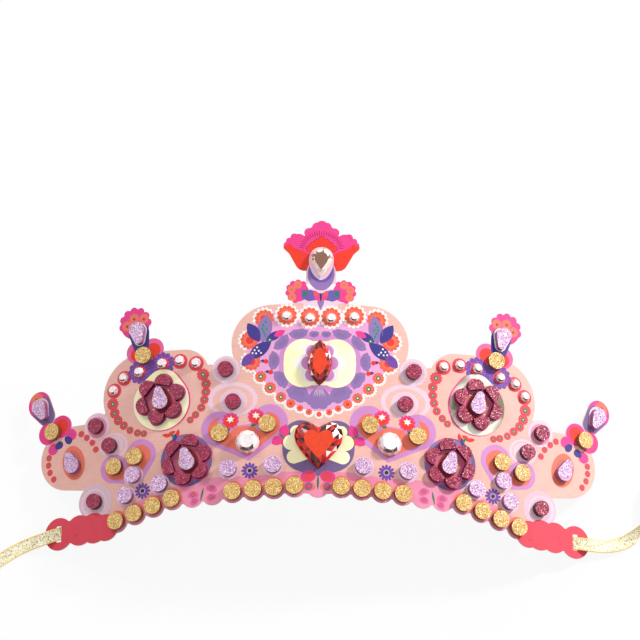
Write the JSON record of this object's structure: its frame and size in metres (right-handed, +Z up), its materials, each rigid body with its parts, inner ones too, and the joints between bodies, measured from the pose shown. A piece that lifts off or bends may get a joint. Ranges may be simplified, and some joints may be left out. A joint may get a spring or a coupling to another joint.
{
  "type": "paper crown",
  "caption": "Curled card tiara with scalloped lobes, trimmed with foam dots, petals and flat-backed gems, with a ribbon tie through a slot at each end.",
  "frame": {"origin": "on the table under the middle of the card, which lies face up", "axes": "+X across the crown, +Y from its lower edge towards its crest, +Z up, out of its face"},
  "size_m": [0.434, 0.1582, 0.0514],
  "materials": {
    "card": "printed, uncoated",
    "gold_foam": "glitter foam",
    "lilac_foam": "glitter foam",
    "crimson_foam": "glitter foam",
    "cream_foil": "foil",
    "silver_foil": "foil",
    "red_gem": "faceted, foil-backed",
    "smoky_gem": "faceted, foil-backed",
    "clear_gem": "faceted, foil-backed",
    "ribbon": "metallic weave"
  },
  "bodies": {
    "root": {"crimson_dot_end_left": "crimson_foam", "crimson_dot_end_right": "crimson_foam", "crimson_dot_inner_lower_left": "crimson_foam", "crimson_dot_inner_lower_right": "crimson_foam", "crimson_dot_inner_upper_left": "crimson_foam", "crimson_dot_inner_upper_right": "crimson_foam", "crimson_dot_shoulder_lower_left": "crimson_foam", "crimson_dot_shoulder_lower_right": "crimson_foam", "crimson_dot_shoulder_upper_left": "crimson_foam", "crimson_dot_shoulder_upper_right": "crimson_foam", "drop_fan_left": "lilac_foam", "drop_fan_right": "lilac_foam", "drop_flower_left": "lilac_foam", "drop_flower_right": "lilac_foam", "drop_leaf_left": "lilac_foam", "drop_leaf_right": "lilac_foam", "drop_medallion_left": "lilac_foam", "drop_medallion_right": "lilac_foam", "drop_outer_lobe_left": "lilac_foam", "drop_outer_lobe_right": "lilac_foam", "foil_disc_left": "cream_foil", "foil_disc_right": "silver_foil", "foil_window": "cream_foil", "foil_wings": "cream_foil", "gold_dot_outer_left": "gold_foam", "gold_dot_outer_right": "gold_foam", "gold_dot_upper_left": "gold_foam", "gold_dot_upper_right": "gold_foam", "gold_dots_edge_inner_left": "gold_foam", "gold_dots_edge_inner_right": "gold_foam", "gold_dots_edge_outer_left": "gold_foam", "gold_dots_edge_outer_right": "gold_foam", "gold_dots_heart_inner_left": "gold_foam", "gold_dots_heart_inner_right": "gold_foam", "gold_dots_heart_outer_left": "gold_foam", "gold_dots_heart_outer_right": "gold_foam", "heart_gem": "red_gem", "lilac_dots_inner_left": "lilac_foam", "lilac_dots_inner_right": "lilac_foam", "lilac_dots_outer_left": "lilac_foam", "lilac_dots_outer_right": "lilac_foam", "marquise_gem": "red_gem", "petals_flower_left": "crimson_foam", "petals_flower_right": "crimson_foam", "petals_medallion_left": "crimson_foam", "petals_medallion_right": "crimson_foam", "printed_card": "card", "ribbon_coil_left": "ribbon", "ribbon_coil_right": "ribbon", "ribbon_left": "ribbon", "ribbon_right": "ribbon", "round_gem_left": "clear_gem", "round_gem_right": "clear_gem", "small_gems_centre": "clear_gem", "small_gems_left": "clear_gem", "small_gems_right": "clear_gem", "teardrop_gem": "smoky_gem"}
  },
  "joints": []
}
